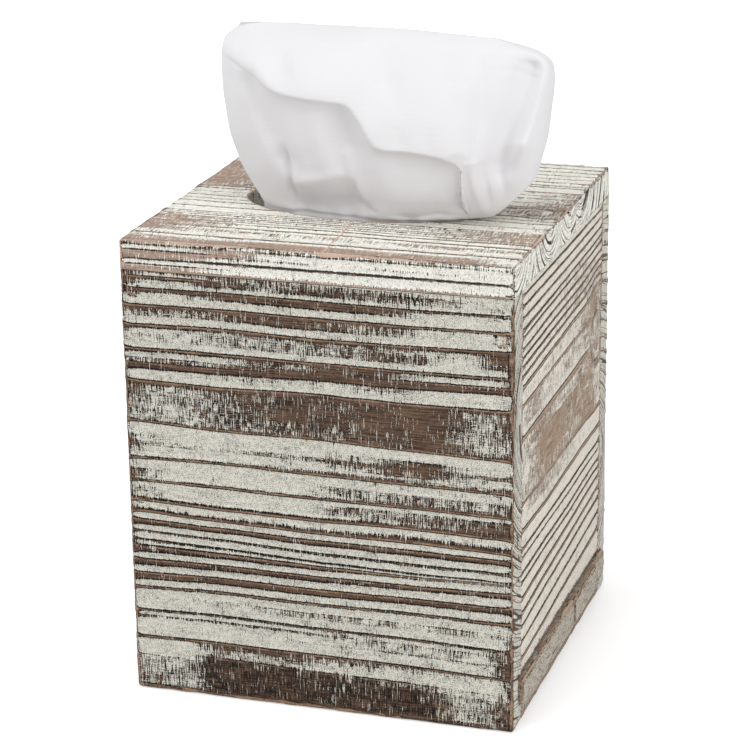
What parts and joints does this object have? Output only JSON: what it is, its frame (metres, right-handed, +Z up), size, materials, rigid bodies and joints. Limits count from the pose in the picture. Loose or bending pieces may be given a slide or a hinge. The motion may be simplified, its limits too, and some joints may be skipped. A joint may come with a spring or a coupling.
{
  "type": "tissue box cover",
  "caption": "Square wooden cover for an upright tissue carton, with an oval opening in the top, a tissue standing in it and a bottom that slides out sideways.",
  "frame": {"origin": "on the surface that the cover stands on, below the middle of the case", "axes": "+Z up; +X to the right, the side where the bottom slides out; -Y to the front, the side that the picture shows most of"},
  "size_m": [0.1427, 0.14, 0.233],
  "materials": {
    "top_whitewashed_fir": "matte",
    "whitewashed_fir": "matte",
    "rubbed_fir": "matte",
    "brad_steel": "satin",
    "tissue_paper": "matte"
  },
  "bodies": {
    "case": {"top_board": "top_whitewashed_fir", "front_board": "whitewashed_fir", "back_board": "whitewashed_fir", "left_board": "whitewashed_fir", "right_board": "whitewashed_fir", "right_rail": "rubbed_fir", "front_left_brads": "brad_steel", "front_right_brads": "brad_steel", "back_left_brads": "brad_steel", "back_right_brads": "brad_steel"},
    "bottom_panel": {"bottom_slat_front": "rubbed_fir", "bottom_slat_middle": "rubbed_fir", "bottom_slat_back": "rubbed_fir"},
    "tissue_sheet": {"tissue": "tissue_paper"}
  },
  "joints": [
    {"name": "bottom_slide", "type": "slide", "parent": "case", "child": "bottom_panel", "axis": [1, 0, 0], "range_m": [0, 0.1287]},
    {"name": "tissue_pull", "type": "slide", "parent": "case", "child": "tissue_sheet", "axis": [0, 0, 1], "range_m": [0, 0.04]}
  ]
}
